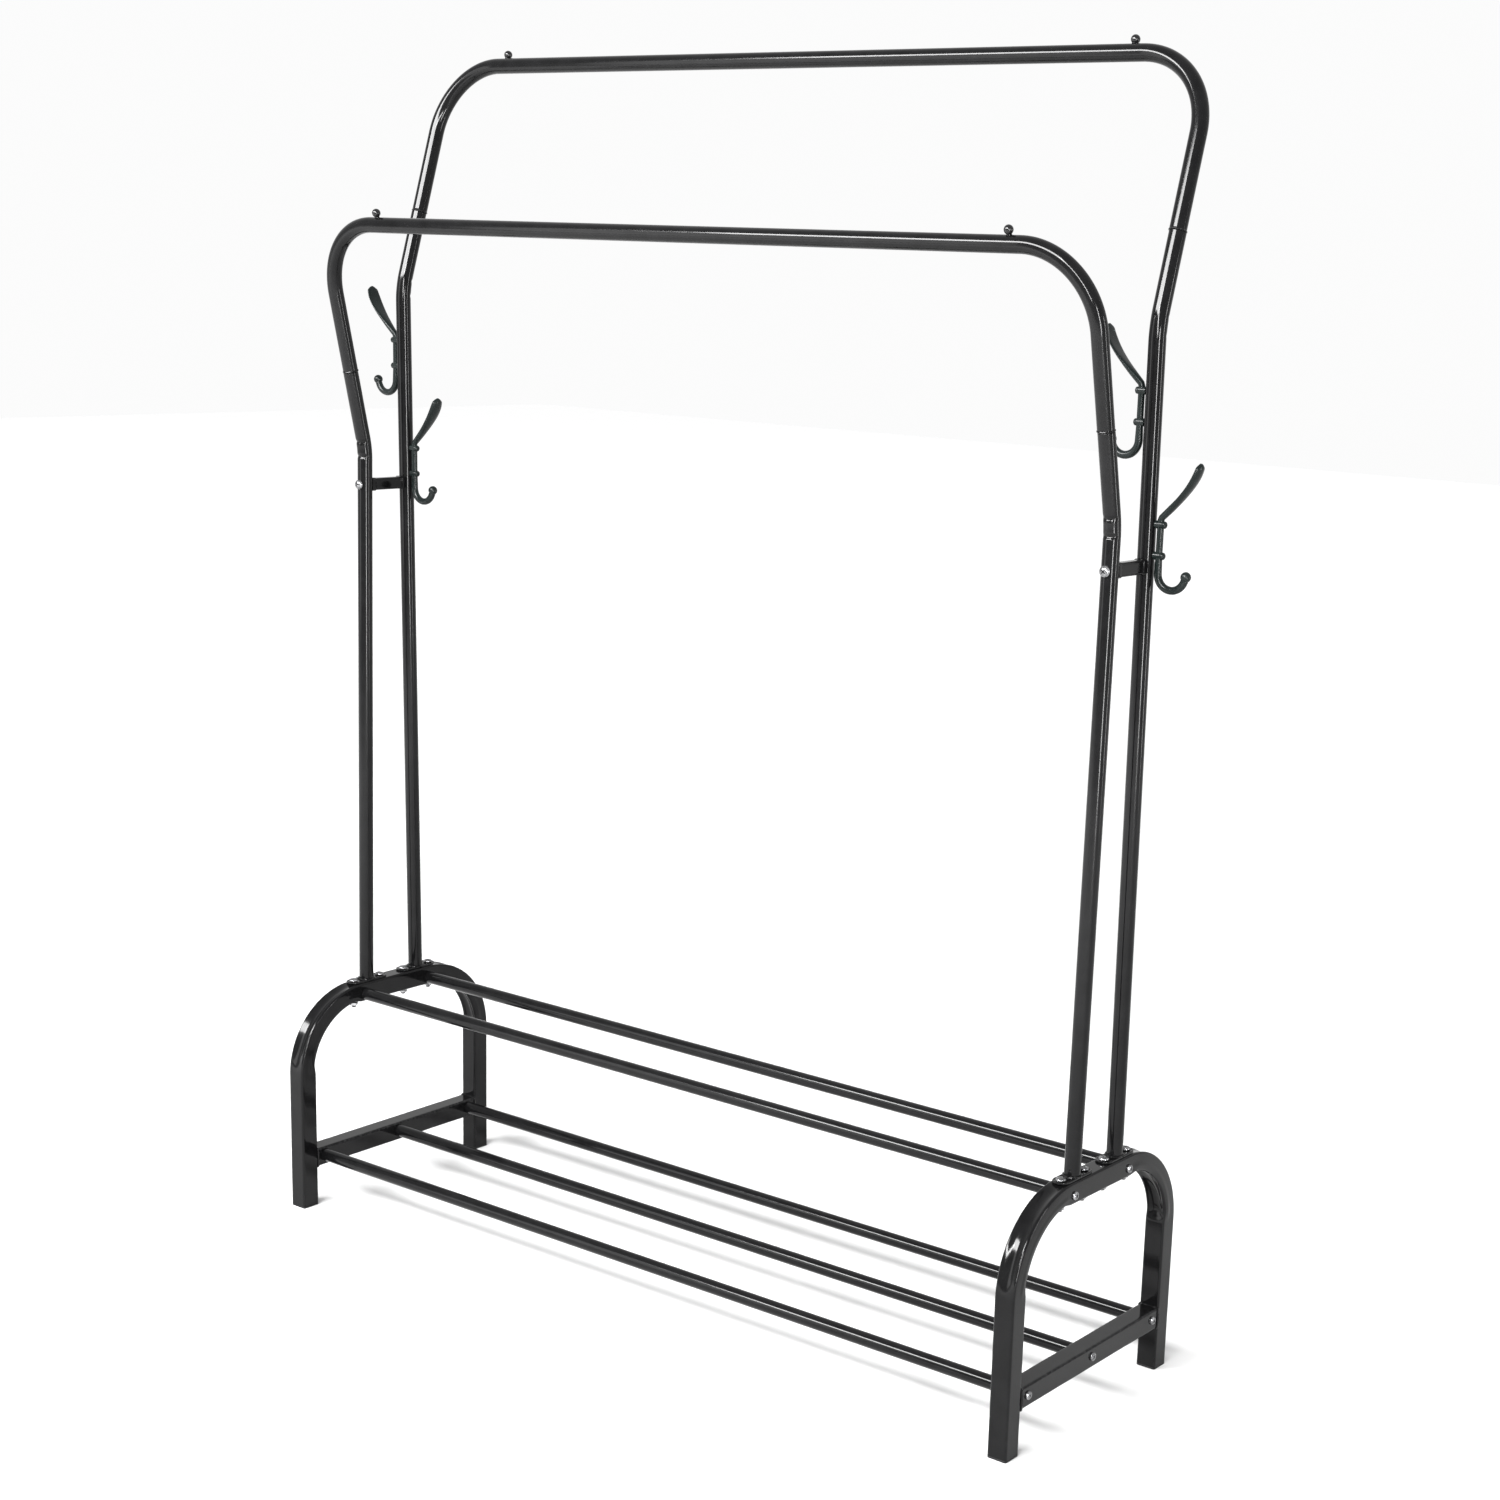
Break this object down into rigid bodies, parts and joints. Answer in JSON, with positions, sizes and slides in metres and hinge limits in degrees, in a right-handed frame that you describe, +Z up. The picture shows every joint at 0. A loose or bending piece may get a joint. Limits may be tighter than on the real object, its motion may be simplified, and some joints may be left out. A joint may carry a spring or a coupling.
{
  "type": "garment rail",
  "caption": "Free-standing double clothes rail: two inverted-U top rails at different heights on bent tube end frames, with shelf rods, braces and side coat hooks.",
  "frame": {"origin": "on the floor, under the middle of the rail", "axes": "+X along the rails, +Y from the lower front rail towards the higher rear rail, +Z up"},
  "size_m": [1.265, 0.3404, 1.5139],
  "materials": {
    "powder_coat": "satin charcoal-black powder coat on steel tube",
    "hook_coat": "satin black coat on cast metal",
    "ball_gloss": "gloss black",
    "screw_black": "gloss black oxide",
    "foot_plastic": "matt black moulded plastic"
  },
  "bodies": {
    "root": {"base_bolt_front_left_aft": "screw_black", "base_bolt_front_left_fore": "screw_black", "base_bolt_front_right_aft": "screw_black", "base_bolt_front_right_fore": "screw_black", "base_bolt_rear_left_aft": "screw_black", "base_bolt_rear_left_fore": "screw_black", "base_bolt_rear_right_aft": "screw_black", "base_bolt_rear_right_fore": "screw_black", "base_nut_front_left_aft": "screw_black", "base_nut_front_left_fore": "screw_black", "base_nut_front_right_aft": "screw_black", "base_nut_front_right_fore": "screw_black", "base_nut_rear_left_aft": "screw_black", "base_nut_rear_left_fore": "screw_black", "base_nut_rear_right_aft": "screw_black", "base_nut_rear_right_fore": "screw_black", "brace_bolt_front_left": "screw_black", "brace_bolt_front_right": "screw_black", "brace_bolt_rear_left": "screw_black", "brace_bolt_rear_right": "screw_black", "brace_left": "powder_coat", "brace_right": "powder_coat", "coat_hook_left_lower": "hook_coat", "coat_hook_left_upper": "hook_coat", "coat_hook_right_lower": "hook_coat", "coat_hook_right_upper": "hook_coat", "crossbar_left": "powder_coat", "crossbar_right": "powder_coat", "end_frame_left": "powder_coat", "end_frame_right": "powder_coat", "foot_front_left": "foot_plastic", "foot_front_right": "foot_plastic", "foot_rear_left": "foot_plastic", "foot_rear_right": "foot_plastic", "rod_screw_lower_front_left": "screw_black", "rod_screw_lower_front_right": "screw_black", "rod_screw_lower_middle_left": "screw_black", "rod_screw_lower_middle_right": "screw_black", "rod_screw_lower_rear_left": "screw_black", "rod_screw_lower_rear_right": "screw_black", "rod_screw_upper_front_left": "screw_black", "rod_screw_upper_front_right": "screw_black", "rod_screw_upper_rear_left": "screw_black", "rod_screw_upper_rear_right": "screw_black", "shelf_rod_lower_front": "powder_coat", "shelf_rod_lower_middle": "powder_coat", "shelf_rod_lower_rear": "powder_coat", "shelf_rod_upper_front": "powder_coat", "shelf_rod_upper_rear": "powder_coat", "stop_ball_front_left": "ball_gloss", "stop_ball_front_right": "ball_gloss", "stop_ball_rear_left": "ball_gloss", "stop_ball_rear_right": "ball_gloss", "top_rail_front": "powder_coat", "top_rail_rear": "powder_coat", "upright_front_left": "powder_coat", "upright_front_right": "powder_coat", "upright_rear_left": "powder_coat", "upright_rear_right": "powder_coat"}
  },
  "joints": []
}
